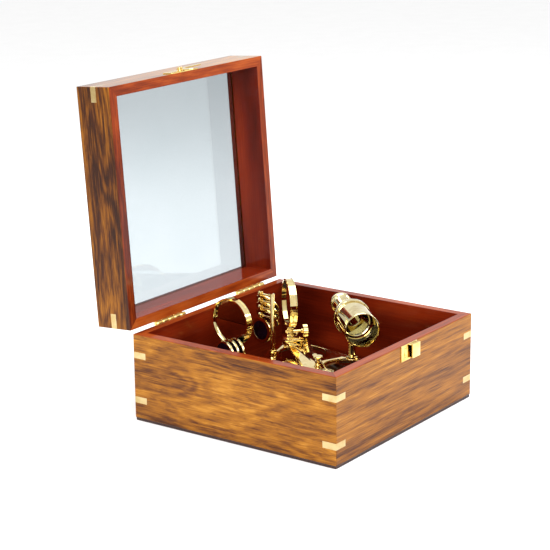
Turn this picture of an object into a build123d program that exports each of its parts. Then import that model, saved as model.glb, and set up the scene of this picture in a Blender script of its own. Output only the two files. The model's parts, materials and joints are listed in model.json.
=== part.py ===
from build123d import *
from math import atan2, cos, degrees, hypot, radians, sin
import os

# Sextant in a glazed hardwood case, lid standing open.  Millimetres.
# Origin: centre of the underside of the base board.  +Z up, hinges at +Y, catch at -Y.

# ---------------------------------------------------------------- case
case_length = 266.0         # along X, outside
case_width = 260.0          # along Y, outside
wall_height = 93.5          # wood above the base board
wall_thick = 11.0
base_thick = 3.0
base_inset = 0.8            # the base board stops short of the wall faces
edge_round = 0.9            # eased outer edges of case and lid
key_leg = 16.5              # brass corner keys: run along each face
key_thick = 7.0
key_levels = (17.0, 67.0)   # undersides of the case keys above the base board
lid_height = 45.5
lid_key_level = 19.0        # underside of the lid keys above the rim
lid_open = 94.0             # degrees from closed to where the hinges stop
rim_gap = 0.2               # seam between case and lid when closed
glass_thick = 3.0
glass_rise = 37.0           # underside of the pane above the lid's rim
groove_deep = 4.0
groove_play = 0.1           # the pane's play in its groove, each face

# ---------------------------------------------------------------- hinges
hinge_length = 50.0
hinge_centres = (-67.0, 79.0)
knuckle_count = 5
knuckle_radius = 2.3
knuckle_gap = 0.3           # between neighbouring knuckles
hinge_standoff = 2.6        # pin axis behind the wood
leaf_thick = 1.2
leaf_width = 16.0
leaf_screw_pitch = 17.0
pin_radius = 1.1
pin_play = 0.05             # running fit of the lid knuckles on the pin
head_radius = 2.3           # countersunk screws of hinges and catch
head_deep = 0.8
shank_radius = 0.9
screw_length = 7.0
slot_width = 0.5
slot_deep = 0.3

# ---------------------------------------------------------------- catch
keeper_left = -13.5
keeper_right = 17.0
keeper_height = 17.0
plate_gauge = 1.0           # sheet of keeper and latch plate
screw_margin = 3.6          # screws from the edges of those plates
box_left = 2.0              # raised box of the keeper, open towards the left
box_drop = 1.0              # its top below the rim
box_proud = 5.0
latch_left = -29.0
latch_right = 17.0
latch_height = 14.0
latch_rise = 0.6            # lower edge of the latch plate above the rim
stud_x = -6.0               # the swing hook turns on this stud
stud_rise = 8.0
stud_radius = 1.6
stud_head_radius = 3.0
stud_head_thick = 1.0
hook_play = 0.06
hook_low = 2.2              # underside of the hook above the lid's face
hook_thick = 1.3
finger_inner = 16.0         # curved finger, radii from the stud
finger_outer = 20.0
finger_start = -125.0       # degrees, swung aside
finger_sweep = 35.0
hook_width = 5.0
tail_reach = 36.0            # thumb lever, from the stud
tail_angle = 4.0

# ---------------------------------------------------------------- sextant in the case
pivot_x = 64.0              # index arm pivot
pivot_y = 58.7
frame_heading = -134.0      # direction of the centre line, pivot to arc
plate_top = 50.0            # top of the frame plate above the table
plate_thick = 4.0

# ---------------------------------------------------------------- frame, from the pivot: u along, v to the left
spindle_radius = 4.0
spindle_flange = 8.0
spindle_flange_thick = 3.0
spindle_sunk = 0.2          # its end below the top of the arm
spindle_play = 0.05
apex_radius = 18.0
top_hole = (44.0, 26.5)     # distance from the pivot, radius
low_hole = (106.0, 37.0, 27.0)  # u, v, radius
limb_inner = 142.0
limb_outer = 166.0
limb_half_angle = 36.0
scale_inner = 150.0
scale_outer = 159.0
scale_thick = 0.6
apex_foot = (8.0, 12.0)
limb_foot_radius = 154.0    # the other two feet: from the pivot, and to each side
limb_foot_angle = 33.0
foot_radius = 3.6
foot_pad_radius = 5.2
foot_pad_thick = 3.0
block_height = 13.5         # wooden blocks that the feet stand on
block_side = 20.0
handle_spots = ((38.0, 32.0), (124.0, 64.0))
handle_drop = 22.0          # grip axis below the plate top
handle_radius = 10.5        # at the middle of the grip
handle_end_radius = 8.4
handle_overhang = 6.0
handle_post_radius = 3.2

# ---------------------------------------------------------------- index arm
arm_width = 25.0
arm_thick = 3.0
arm_gap = 0.3               # between the arm and the frame plate
arm_head_radius = 15.0
arm_end = 171.0
window_inner = 146.0
window_outer = 163.0
window_half = 6.5
vernier_width = 4.0
vernier_thick = 0.8
clamp_drop = 10.0           # clamp jaw below the plate top
clamp_jaw = 3.0
clamp_screw_radius = 2.0
clamp_knob_radius = 6.0
clamp_knob_thick = 6.0

# ---------------------------------------------------------------- mirrors
mirror_height = 45.0        # centres above the plate
mirror_radius = 26.0
mirror_band = 8.0
mirror_wall = 1.8
mirror_glass = 3.0
index_mirror_v = -6.0
stem_width = 7.0
mirror_base_thick = 2.4
mirror_base_length = 26.0
mirror_base_width = 22.0
mirror_steps = ((14.0, 5.0), (10.0, 8.0))   # width and height of the stepped foot
adjuster_height = 11.5
adjuster_radius = 1.6
adjuster_play = 0.05
adjuster_knob_radius = 7.0
adjuster_knob_thick = 5.0
adjuster_reach = 20.0
horizon_spot = (57.8, -80.4)
horizon_radius = 24.5
horizon_turn = -52.0        # where the mirror faces, from the centre line
ear_width = 14.0
ear_radius = 9.5

# ---------------------------------------------------------------- reading lens
reader_spot = (107.0, 5.0)
reader_pin_radius = 1.9
reader_play = 0.05
reader_flange_radius = 4.4
reader_head_radius = 5.2
reader_head_height = 12.0
reader_head_thick = 1.8
reader_washer = 1.6         # flange under the hub
reader_gap = 0.4            # hub above the flange
reader_bar_width = 4.0
reader_hub_radius = 3.6
reader_reach = 38.0
reader_ring_radius = 9.5
reader_lens_radius = 8.0

# ---------------------------------------------------------------- shades
shade_thick = 2.4
shade_glass_thick = 1.6
shade_pin_radius = 1.3
shade_play = 0.05
shade_eye_radius = 3.0
shade_eye_width = 3.0
shade_pin_spare = 0.3       # pins past the last eye
shade_stem = 3.0            # width of the stem between eye and ring
index_frame_radius = 14.8
index_glass_radius = 10.8
index_shade_post = (36.3, -32.0)
index_shade_turn = 35.5     # direction of its pins
index_shade_arm = 17.6
index_shade_gap = 0.5       # shade rings to the post
index_pin_low = 39.6        # pin of the shade that hangs in the light path
index_pin_second = 48.6     # lowest pin of the three shades that are tipped up
index_pin_pitch = 7.8
index_shade_tip = -128.0    # elevation of their arms at rest, from the side away from the arm
horizon_frame_radius = 15.0
horizon_glass_radius = 12.6
horizon_shade_turn = -60.0
horizon_shade_post = (87.0, -64.2)
horizon_pin_height = 8.5
horizon_shade_arm = 20.0
horizon_shade_rest = 158.0  # elevation of the arms at rest, turning towards the post
horizon_shade_pitch = 7.5
horizon_shade_first = 7.0   # nearest shade from the post, along the pin
shade_post_radius = 2.6
shade_foot_radius = 4.4
shade_foot_thick = 2.5

# ---------------------------------------------------------------- telescope
post_spot = (74.5, 49.8)
tube_height = 46.0          # axis above the plate
tube_radius = 19.0
tube_wall = 1.4
tube_front = 50.0           # mouth ahead of the post
tube_back = 14.5            # shoulder behind the post
shoulder_radius = 13.0
shoulder_length = 5.0
collar_wall = 1.4
collar_length = 6.0
post_radius = 4.2
post_foot_radius = 7.0
post_foot_thick = 2.5
post_pin_radius = 2.0
post_pin_height = 13.0
post_play = 0.05
post_gap = 0.3              # holder above its spindle's foot, and over its pin
cell_depth = 30.0           # objective cell behind the mouth
cell_length = 8.0
cell_bore = 14.5
objective_thick = 4.0
draw_radius = 9.2
draw_wall = 1.2
draw_play = 0.05
draw_back = 61.5            # eyepiece end behind the post
draw_overlap = 14.0         # inside the main tube
eyecup_radius = 11.8
eyecup_length = 6.0
eye_hole = 5.0
eye_lens_thick = 3.0

os.makedirs("parts", exist_ok=True)


def save(piece, name, place):
    """Puts a piece in its place on the case, the open lid or the sextant and writes it."""
    piece = piece.moved(place.location)
    piece.label = name
    export_step(piece, f"parts/{name}.step")


# ---------------------------------------------------------------- shared places
half_l = case_length / 2
half_w = case_width / 2
inner_l = case_length - 2 * wall_thick
inner_w = case_width - 2 * wall_thick
case_top = base_thick + wall_height
axis_y = half_w + hinge_standoff
tilt = radians(lid_open)

# Case pieces are drawn from the top of the base board, lid pieces from the lid's rim as if it
# were closed, and the sextant from its pivot at the top of the frame plate.
table = Plane.XY
case = Plane.XY.offset(base_thick)
hinge_line = Plane((0, axis_y, case_top), x_dir=(1, 0, 0), z_dir=(0, sin(tilt), cos(tilt)))
lid = Plane(hinge_line.from_local_coords((0, -axis_y, rim_gap)), x_dir=(1, 0, 0), z_dir=hinge_line.z_dir)
heading = radians(frame_heading)
sextant = Plane((pivot_x, pivot_y, plate_top), x_dir=(cos(heading), sin(heading), 0), z_dir=(0, 0, 1))


def front_face(level):
    return Plane((0, -half_w, level), x_dir=(1, 0, 0), z_dir=(0, -1, 0))


def back_face(level):
    return Plane((0, half_w, level), x_dir=(-1, 0, 0), z_dir=(0, 1, 0))


def polar(radius, angle):
    return (radius * cos(radians(angle)), radius * sin(radians(angle)))


def upright(spot, turn, height=0.0):
    """Vertical plane at a spot on the plate: its normal points along turn, its local Y is up."""
    facing = radians(turn)
    return Plane(
        (spot[0], spot[1], height),
        x_dir=(-sin(facing), cos(facing), 0),
        z_dir=(cos(facing), sin(facing), 0),
    )


# ---------------------------------------------------------------- mitred walls and corner keys
outline = {
    "front": ((-half_l, -half_w), (half_l, -half_w)),
    "right": ((half_l, -half_w), (half_l, half_w)),
    "back": ((half_l, half_w), (-half_l, half_w)),
    "left": ((-half_l, half_w), (-half_l, -half_w)),
}
corners = [(sx, sy) for sx in (-1, 1) for sy in (-1, 1)]
leaf_screw_drop = knuckle_radius + knuckle_gap + leaf_width / 2
leaf_screw_x = (-leaf_screw_pitch, 0.0, leaf_screw_pitch)
leaf_spots = [(-centre + dx, 0.0) for centre in hinge_centres for dx in leaf_screw_x]
case_leaf_spots = [(x, -leaf_screw_drop) for x, _ in leaf_spots]
lid_leaf_spots = [(x, leaf_screw_drop) for x, _ in leaf_spots]
keeper_screw_x = (keeper_left + box_left) / 2
keeper_spots = [(keeper_screw_x, -screw_margin), (keeper_screw_x, screw_margin - keeper_height)]
latch_top = latch_rise + latch_height
latch_spots = [(latch_left + screw_margin, latch_top - screw_margin),
               (latch_right - screw_margin, latch_top - screw_margin)]


def inward(point):
    return tuple(c - wall_thick * (1 if c > 0 else -1) for c in point)


def eased_block(height):
    with BuildPart() as block:
        Box(case_length, case_width, height, align=(Align.CENTER, Align.CENTER, Align.MIN))
        fillet(block.edges(), edge_round)
    return block.part


def corner_triangles(levels):
    with BuildPart() as triangles:
        for level in levels:
            with BuildSketch(Plane.XY.offset(level)):
                for sx, sy in corners:
                    x, y = sx * half_l, sy * half_w
                    Polygon((x, y), (x - sx * key_leg, y), (x, y - sy * key_leg), align=None)
            extrude(amount=key_thick)
    return triangles.part


def mitred_wall(side, height, levels, face=None, spots=(), pane=False):
    start, end = outline[side]
    keys = corner_triangles(levels)
    block = eased_block(height)
    with BuildPart() as wall:
        with BuildSketch():
            Polygon(start, end, inward(end), inward(start), align=None)
        extrude(amount=height)
        add(block, mode=Mode.INTERSECT)
        add(keys, mode=Mode.SUBTRACT)
        if pane:
            with BuildSketch(Plane.XY.offset(glass_rise - groove_play)):
                Rectangle(inner_l + 2 * groove_deep, inner_w + 2 * groove_deep)
            extrude(amount=glass_thick + 2 * groove_play, mode=Mode.SUBTRACT)
        if spots:
            with BuildSketch(face):
                with Locations(*spots):
                    Circle(shank_radius)
            extrude(amount=-screw_length, mode=Mode.SUBTRACT)
    return wall.part


def corner_keys(height, levels):
    block = eased_block(height)
    with BuildPart() as keys:
        add(corner_triangles(levels))
        add(block, mode=Mode.INTERSECT)
    return keys.part


with BuildPart() as base_board:
    Box(
        case_length - 2 * base_inset,
        case_width - 2 * base_inset,
        base_thick,
        align=(Align.CENTER, Align.CENTER, Align.MIN),
    )
save(base_board.part, "base_board", table)

case_faces = {"front": (front_face(wall_height), keeper_spots), "back": (back_face(wall_height), case_leaf_spots)}
lid_faces = {"front": (front_face(0), latch_spots), "back": (back_face(-rim_gap), lid_leaf_spots)}
for side in outline:
    face, spots = case_faces.get(side, (None, ()))
    save(mitred_wall(side, wall_height, key_levels, face, spots), f"case_{side}_wall", case)
    face, spots = lid_faces.get(side, (None, ()))
    save(mitred_wall(side, lid_height, (lid_key_level,), face, spots, pane=True), f"lid_{side}_rail", lid)
save(corner_keys(wall_height, key_levels), "case_corner_keys", case)
save(corner_keys(lid_height, (lid_key_level,)), "lid_corner_keys", lid)

with BuildPart() as lid_glass:
    with BuildSketch(Plane.XY.offset(glass_rise)):
        pane_spare = groove_deep - groove_play
        Rectangle(inner_l + 2 * pane_spare, inner_w + 2 * pane_spare)
    extrude(amount=glass_thick)
save(lid_glass.part, "lid_glass", lid)

# ---------------------------------------------------------------- hinges and their screws
knuckle_pitch = hinge_length / knuckle_count
knuckle_width = knuckle_pitch - knuckle_gap


def screw_seats(face, spots, seat):
    """Countersunk holes for a plate whose outside is seat above the face."""
    with BuildPart() as seats:
        with BuildSketch(face):
            with Locations(*spots):
                Circle(shank_radius)
        extrude(amount=seat)
        with BuildSketch(face.offset(seat)):
            with Locations(*spots):
                Circle(head_radius)
        extrude(amount=-head_deep, taper=45)
    return seats.part


def hinge_leaves(level, sign, first, bore):
    """Both leaves of one side on the back face, sign +1 above the joint and -1 below it."""
    face = back_face(level)
    middle = sign * (knuckle_radius + knuckle_gap + leaf_width / 2)
    with BuildPart() as leaves:
        for centre in hinge_centres:
            with BuildSketch(face):
                with Locations((-centre, middle)):
                    RectangleRounded(hinge_length, leaf_width, 1.0)
            extrude(amount=leaf_thick)
            for i in range(first, knuckle_count, 2):
                along = (i - (knuckle_count - 1) / 2) * knuckle_pitch
                with BuildSketch(face):
                    with Locations((-centre + along, sign * (knuckle_radius + knuckle_gap + 1.0) / 2)):
                        Rectangle(knuckle_width, knuckle_radius + knuckle_gap + 1.0)
                extrude(amount=leaf_thick)
                with BuildSketch(Plane((centre - along, axis_y, level), x_dir=(0, 1, 0), z_dir=(1, 0, 0))):
                    Circle(knuckle_radius)
                extrude(amount=knuckle_width / 2, both=True)
            with BuildSketch(Plane((centre, axis_y, level), x_dir=(0, 1, 0), z_dir=(1, 0, 0))):
                Circle(bore)
            extrude(amount=hinge_length, both=True, mode=Mode.SUBTRACT)
        spots = [(x, sign * leaf_screw_drop) for x, _ in leaf_spots]
        add(screw_seats(face, spots, leaf_thick), mode=Mode.SUBTRACT)
    return leaves.part


def wood_screws(face, spots, seat):
    with BuildPart() as screws:
        with BuildSketch(face.offset(seat)):
            with Locations(*spots):
                Circle(head_radius)
        extrude(amount=-head_deep, taper=45)
        with BuildSketch(face.offset(seat - head_deep)):
            with Locations(*spots):
                Circle(shank_radius)
        extrude(amount=-(screw_length + seat - head_deep))
        with BuildSketch(face.offset(seat)):
            with Locations(*spots):
                Rectangle(2 * head_radius, slot_width)
        extrude(amount=-slot_deep, mode=Mode.SUBTRACT)
    return screws.part


save(hinge_leaves(wall_height, -1, 0, pin_radius), "case_hinge_leaves", case)
save(hinge_leaves(-rim_gap, 1, 1, pin_radius + pin_play), "lid_hinge_leaves", lid)

with BuildPart() as hinge_pins:
    for centre in hinge_centres:
        with BuildSketch(Plane((centre, axis_y, case_top), x_dir=(0, 1, 0), z_dir=(1, 0, 0))):
            Circle(pin_radius)
        extrude(amount=hinge_length / 2 + 0.4, both=True)
save(hinge_pins.part, "hinge_pins", table)

# ---------------------------------------------------------------- catch
keeper_face = front_face(wall_height)
keeper_middle = (keeper_left + keeper_right) / 2
box_width = keeper_right - box_left
box_height = keeper_height - 2 * box_drop

with BuildPart() as keeper:
    with BuildSketch(keeper_face):
        with Locations((keeper_middle, -keeper_height / 2)):
            Rectangle(keeper_right - keeper_left, keeper_height)
    extrude(amount=plate_gauge)
    with BuildSketch(keeper_face):
        with Locations(((box_left + keeper_right) / 2, -keeper_height / 2)):
            Rectangle(box_width, box_height)
    extrude(amount=box_proud)
    with BuildSketch(keeper_face.offset(plate_gauge)):
        with Locations((box_left + (box_width - plate_gauge) / 2, -keeper_height / 2)):
            Rectangle(box_width - plate_gauge, box_height - 2 * plate_gauge)
    extrude(amount=box_proud - 2 * plate_gauge, mode=Mode.SUBTRACT)
    add(screw_seats(keeper_face, keeper_spots, plate_gauge), mode=Mode.SUBTRACT)
save(keeper.part, "catch_keeper", case)

latch_face = front_face(0)
stud_spot = (stud_x, stud_rise)
stud_length = hook_low + hook_thick + hook_play

with BuildPart() as latch_plate:
    with BuildSketch(latch_face):
        with Locations(((latch_left + latch_right) / 2, latch_rise + latch_height / 2)):
            RectangleRounded(latch_right - latch_left, latch_height, 2.0)
    extrude(amount=plate_gauge)
    with BuildSketch(latch_face.offset(plate_gauge)):
        with Locations(stud_spot):
            Circle(stud_head_radius)
    extrude(amount=hook_low - plate_gauge - hook_play)
    with BuildSketch(latch_face):
        with Locations(stud_spot):
            Circle(stud_radius)
    extrude(amount=stud_length)
    with BuildSketch(latch_face.offset(stud_length)):
        with Locations(stud_spot):
            Circle(stud_head_radius)
    extrude(amount=stud_head_thick)
    add(screw_seats(latch_face, latch_spots, plate_gauge), mode=Mode.SUBTRACT)
save(latch_plate.part, "latch_plate", lid)

with BuildPart() as case_screws:
    add(wood_screws(back_face(wall_height), case_leaf_spots, leaf_thick))
    add(wood_screws(keeper_face, keeper_spots, plate_gauge))
save(case_screws.part, "case_screws", case)

with BuildPart() as lid_screws:
    add(wood_screws(back_face(-rim_gap), lid_leaf_spots, leaf_thick))
    add(wood_screws(latch_face, latch_spots, plate_gauge))
save(lid_screws.part, "lid_screws", lid)

# The hook turns about the stud; its curved finger is concentric with it.
hook_face = Plane((stud_x, -half_w - hook_low, stud_rise), x_dir=(1, 0, 0), z_dir=(0, -1, 0))
with BuildPart() as latch_hook:
    with BuildSketch(hook_face):
        Circle(stud_head_radius + 1.0)
        with BuildLine():
            finger = ThreePointArc(
                polar(finger_outer, finger_start),
                polar(finger_outer, finger_start + finger_sweep / 2),
                polar(finger_outer, finger_start + finger_sweep),
            )
            tip = Line(finger @ 1, polar(finger_inner, finger_start + finger_sweep))
            inner = ThreePointArc(
                tip @ 1,
                polar(finger_inner, finger_start + finger_sweep / 2),
                polar(finger_inner, finger_start),
            )
            Line(inner @ 1, finger @ 0)
        make_face()
        with Locations(Location((0, 0, 0), (0, 0, finger_start))):
            Rectangle(finger_outer - 0.3, hook_width, align=(Align.MIN, Align.MIN))
        with Locations(Location((*polar(tail_reach / 2, tail_angle), 0), (0, 0, tail_angle))):
            SlotOverall(tail_reach + hook_width, hook_width)
        Circle(stud_radius + hook_play, mode=Mode.SUBTRACT)
    extrude(amount=hook_thick)
save(latch_hook.part, "latch_hook", lid)

# ---------------------------------------------------------------- wooden blocks under the sextant's feet
foot_spots = (apex_foot, polar(limb_foot_radius, limb_foot_angle), polar(limb_foot_radius, -limb_foot_angle))
with BuildPart() as rest_blocks:
    for spot in foot_spots:
        corner = sextant.from_local_coords((*spot, 0))
        with BuildSketch(Plane.XY.offset(base_thick)):
            with Locations((corner.X, corner.Y)):
                RectangleRounded(block_side, block_side, 2.0)
        extrude(amount=block_height)
save(rest_blocks.part, "rest_blocks", table)

# ---------------------------------------------------------------- sextant frame
ear_root = (horizon_spot[0], horizon_spot[1] / 2)


def band_sector(inner, outer, half_angle):
    """Sketch of the arc between two radii, symmetrical about the centre line."""
    with BuildSketch() as band:
        with BuildLine():
            far = ThreePointArc(polar(outer, -half_angle), (outer, 0), polar(outer, half_angle))
            end = Line(far @ 1, polar(inner, half_angle))
            near = ThreePointArc(end @ 1, (inner, 0), polar(inner, -half_angle))
            Line(near @ 1, far @ 0)
        make_face()
    return band.sketch


with BuildPart() as sextant_frame:
    with BuildSketch(Plane.XY.offset(-plate_thick)):
        Circle(apex_radius)
        add(band_sector(limb_inner, limb_outer, limb_half_angle))
        with BuildLine():
            Polyline(polar(limb_inner, limb_half_angle), (0, apex_radius), (0, -apex_radius),
                     polar(limb_inner, -limb_half_angle))
            ThreePointArc(polar(limb_inner, -limb_half_angle), (limb_inner + 1, 0),
                          polar(limb_inner, limb_half_angle))
        make_face()
        with Locations(horizon_spot):
            Circle(ear_radius)
        with Locations(ear_root):
            Rectangle(ear_width, -horizon_spot[1] / 2, align=(Align.CENTER, Align.MAX))
        with Locations(index_shade_post, horizon_shade_post):
            Circle(shade_foot_radius + 1.0)
        with Locations(post_spot):
            Circle(post_foot_radius + 1.0)
        with Locations((top_hole[0], 0)):
            Circle(top_hole[1], mode=Mode.SUBTRACT)
        with Locations((low_hole[0], low_hole[1]), (low_hole[0], -low_hole[1])):
            Circle(low_hole[2], mode=Mode.SUBTRACT)
        Circle(spindle_radius, mode=Mode.SUBTRACT)
    extrude(amount=plate_thick)
    with BuildSketch(Plane.XY.offset(-scale_thick)):
        add(band_sector(scale_inner, scale_outer, limb_half_angle - 1.5))
    extrude(amount=scale_thick, mode=Mode.SUBTRACT)
save(sextant_frame.part, "sextant_frame", sextant)

with BuildPart() as arc_scale:
    with BuildSketch(Plane.XY.offset(-scale_thick)):
        add(band_sector(scale_inner, scale_outer, limb_half_angle - 1.5))
    extrude(amount=scale_thick)
save(arc_scale.part, "arc_scale", sextant)

foot_length = plate_top - plate_thick - base_thick - block_height
with BuildPart() as frame_feet:
    with BuildSketch(Plane.XY.offset(-plate_thick - foot_length)):
        with Locations(*foot_spots):
            Circle(foot_radius)
    extrude(amount=foot_length)
    for level in (-plate_thick - foot_length, -plate_thick - foot_pad_thick):
        with BuildSketch(Plane.XY.offset(level)):
            with Locations(*foot_spots):
                Circle(foot_pad_radius)
        extrude(amount=foot_pad_thick)
save(frame_feet.part, "frame_feet", sextant)

arm_top = arm_gap + arm_thick

# Two turned spindles: one carries the index arm, the other the telescope's holder.
with BuildPart() as frame_spindles:
    with BuildSketch(Plane.XY.offset(-plate_thick - spindle_flange_thick)):
        Circle(spindle_flange)
    extrude(amount=spindle_flange_thick)
    with BuildSketch(Plane.XY.offset(-plate_thick)):
        Circle(spindle_radius)
    extrude(amount=plate_thick + arm_top - spindle_sunk)
    with BuildSketch():
        with Locations(post_spot):
            Circle(post_foot_radius)
    extrude(amount=post_foot_thick)
    with BuildSketch():
        with Locations(post_spot):
            Circle(post_pin_radius)
    extrude(amount=post_pin_height)
save(frame_spindles.part, "frame_spindles", sextant)

# ---------------------------------------------------------------- handle under the frame
(ax, ay), (bx, by) = handle_spots
handle_run = hypot(bx - ax, by - ay)
grip_plane = Plane((ax, ay, -handle_drop), x_dir=(0, 0, 1), z_dir=(bx - ax, by - ay, 0))
with BuildPart() as handle_grip:
    with BuildSketch(grip_plane.offset(-handle_overhang)):
        Circle(handle_end_radius)
    with BuildSketch(grip_plane.offset(handle_run / 2)):
        Circle(handle_radius)
    with BuildSketch(grip_plane.offset(handle_run + handle_overhang)):
        Circle(handle_end_radius)
    loft()
    with BuildSketch(Plane.XY.offset(-handle_drop)):
        with Locations(*handle_spots):
            Circle(handle_post_radius)
    extrude(amount=handle_drop, mode=Mode.SUBTRACT)
save(handle_grip.part, "handle_grip", sextant)

with BuildPart() as handle_posts:
    with BuildSketch(Plane.XY.offset(-handle_drop)):
        with Locations(*handle_spots):
            Circle(handle_post_radius)
    extrude(amount=handle_drop - plate_thick)
save(handle_posts.part, "handle_posts", sextant)

# ---------------------------------------------------------------- mirrors in their ring frames
def ring_frame(plane, radius, wall, depth):
    """Deep ring standing on edge; the plane faces the way the glass faces."""
    with BuildPart() as ring:
        with BuildSketch(plane):
            Circle(radius + wall)
            Circle(radius, mode=Mode.SUBTRACT)
        extrude(amount=depth / 2, both=True)
    return ring.part


mirror_foot = mirror_height - mirror_radius - mirror_wall
index_mirror_plane = upright((0, index_mirror_v), 90, mirror_height)
with BuildPart() as index_mirror_frame:
    add(ring_frame(index_mirror_plane, mirror_radius, mirror_wall, mirror_band))
    with BuildSketch(Plane.XY.offset(arm_top)):
        with Locations((0, index_mirror_v / 2)):
            RectangleRounded(mirror_base_length, mirror_base_width, 4.0)
    extrude(amount=mirror_base_thick)
    for width, rise in mirror_steps:
        with BuildSketch(Plane.XY.offset(arm_top)):
            with Locations((0, index_mirror_v)):
                Rectangle(width, mirror_band)
        extrude(amount=rise)
    with BuildSketch(Plane.XY.offset(arm_top)):
        with Locations((0, index_mirror_v)):
            Rectangle(stem_width, mirror_band - 1.0)
    extrude(amount=mirror_foot + mirror_wall / 2 - arm_top)
    with BuildSketch(Plane((0, index_mirror_v, adjuster_height), x_dir=(1, 0, 0), z_dir=(0, -1, 0))):
        Circle(adjuster_radius + adjuster_play)
    extrude(amount=mirror_band, both=True, mode=Mode.SUBTRACT)
save(index_mirror_frame.part, "index_mirror_frame", sextant)

with BuildPart() as index_mirror:
    with BuildSketch(index_mirror_plane):
        Circle(mirror_radius)
    extrude(amount=mirror_glass / 2, both=True)
save(index_mirror.part, "index_mirror", sextant)

adjuster_plane = Plane((0, index_mirror_v, adjuster_height), x_dir=(1, 0, 0), z_dir=(0, 1, 0))
with BuildPart() as mirror_adjuster:
    with BuildSketch(adjuster_plane.offset(-mirror_band / 2 - 1.0)):
        Circle(adjuster_radius)
    extrude(amount=mirror_band / 2 + 1.0 + adjuster_reach)
    with BuildSketch(adjuster_plane.offset(adjuster_reach - adjuster_knob_thick)):
        Circle(adjuster_knob_radius)
    extrude(amount=adjuster_knob_thick)
    fillet(mirror_adjuster.edges().filter_by(GeomType.CIRCLE).group_by(SortBy.RADIUS)[-1], 0.8)
save(mirror_adjuster.part, "mirror_adjuster", sextant)

horizon_plane = upright(horizon_spot, horizon_turn, mirror_height)
horizon_foot = mirror_height - horizon_radius - mirror_wall
with BuildPart() as horizon_mirror_frame:
    add(ring_frame(horizon_plane, horizon_radius, mirror_wall, mirror_band))
    with BuildSketch():
        with Locations(horizon_spot):
            Circle(ear_radius - 1.5)
    extrude(amount=3.0)
    with BuildSketch():
        with Locations(Location((*horizon_spot, 0), (0, 0, horizon_turn))):
            Rectangle(mirror_band, 9.0)
    extrude(amount=horizon_foot + mirror_wall / 2)
save(horizon_mirror_frame.part, "horizon_mirror_frame", sextant)

# Lower half silvered, upper half clear.
for name, keep in (("horizon_mirror", Align.MAX), ("horizon_clear_glass", Align.MIN)):
    with BuildPart() as pane_half:
        with BuildSketch(horizon_plane):
            Circle(horizon_radius)
            Rectangle(3 * horizon_radius, 2 * horizon_radius, align=(Align.CENTER, keep), mode=Mode.INTERSECT)
        extrude(amount=mirror_glass / 2, both=True)
    save(pane_half.part, name, sextant)

# ---------------------------------------------------------------- index arm
with BuildPart() as index_arm:
    with BuildSketch(Plane.XY.offset(arm_gap)):
        Circle(arm_head_radius)
        Rectangle(arm_end, arm_width, align=(Align.MIN, Align.CENTER))
        Circle(spindle_radius + spindle_play, mode=Mode.SUBTRACT)
        with Locations((window_inner, 0)):
            Rectangle(
                window_outer - window_inner,
                2 * window_half,
                align=(Align.MIN, Align.CENTER),
                mode=Mode.SUBTRACT,
            )
    extrude(amount=arm_thick)
    with BuildSketch(Plane.XY.offset(arm_top)):
        with Locations((arm_end, 0)):
            Rectangle(arm_end - limb_outer - 0.4, arm_width, align=(Align.MAX, Align.CENTER))
    extrude(amount=-arm_top - clamp_drop)
    with BuildSketch(Plane.XY.offset(-clamp_drop)):
        with Locations((arm_end, 0)):
            Rectangle(arm_end - window_inner, arm_width, align=(Align.MAX, Align.CENTER))
    extrude(amount=clamp_jaw)
    clamp_u = (window_inner + limb_outer) / 2
    with BuildSketch(Plane.XY.offset(-clamp_drop)):
        with Locations((clamp_u, 0)):
            Circle(clamp_screw_radius + spindle_play)
    extrude(amount=clamp_jaw, mode=Mode.SUBTRACT)
save(index_arm.part, "index_arm", sextant)

with BuildPart() as vernier_plate:
    with BuildSketch(Plane.XY.offset(arm_gap)):
        with Locations((window_inner, 0)):
            Rectangle(vernier_width, 2 * window_half, align=(Align.MIN, Align.CENTER))
    extrude(amount=vernier_thick)
save(vernier_plate.part, "vernier_plate", sextant)

with BuildPart() as clamp_screw:
    with BuildSketch(Plane.XY.offset(-clamp_drop - clamp_knob_thick - 1.0)):
        with Locations((clamp_u, 0)):
            Circle(clamp_knob_radius)
    extrude(amount=clamp_knob_thick)
    with BuildSketch(Plane.XY.offset(-clamp_drop - 1.5)):
        with Locations((clamp_u, 0)):
            Circle(clamp_screw_radius)
    extrude(amount=clamp_drop + 1.5 - plate_thick - arm_gap)
save(clamp_screw.part, "clamp_screw", sextant)

# ---------------------------------------------------------------- reading lens on the arm
rx, ry = reader_spot
with BuildPart() as reader_post:
    with BuildSketch(Plane.XY.offset(arm_top)):
        with Locations(reader_spot):
            Circle(reader_flange_radius)
    extrude(amount=reader_washer)
    with BuildSketch(Plane.XY.offset(arm_top)):
        with Locations(reader_spot):
            Circle(reader_pin_radius)
    extrude(amount=reader_head_height)
    with BuildSketch(Plane.XY.offset(arm_top + reader_head_height - reader_head_thick)):
        with Locations(reader_spot):
            Circle(reader_head_radius)
    extrude(amount=reader_head_thick)
save(reader_post.part, "reader_post", sextant)

reader_low = arm_top + reader_washer + reader_gap
reader_bar = reader_reach - reader_pin_radius - reader_lens_radius - 1.0
with BuildPart() as reader_arm:
    with BuildSketch(Plane.XY.offset(reader_low)):
        with Locations(reader_spot):
            Circle(reader_hub_radius)
            Circle(reader_pin_radius + reader_play, mode=Mode.SUBTRACT)
    extrude(amount=5.0)
    with BuildSketch(Plane.XY.offset(reader_low + 3.0)):
        with Locations((rx + reader_pin_radius + 0.7, ry)):
            Rectangle(reader_bar, reader_bar_width, align=(Align.MIN, Align.CENTER))
        with Locations((rx + reader_reach, ry)):
            Circle(reader_ring_radius)
            Circle(reader_lens_radius, mode=Mode.SUBTRACT)
    extrude(amount=2.0)
save(reader_arm.part, "reader_arm", sextant)

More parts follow.
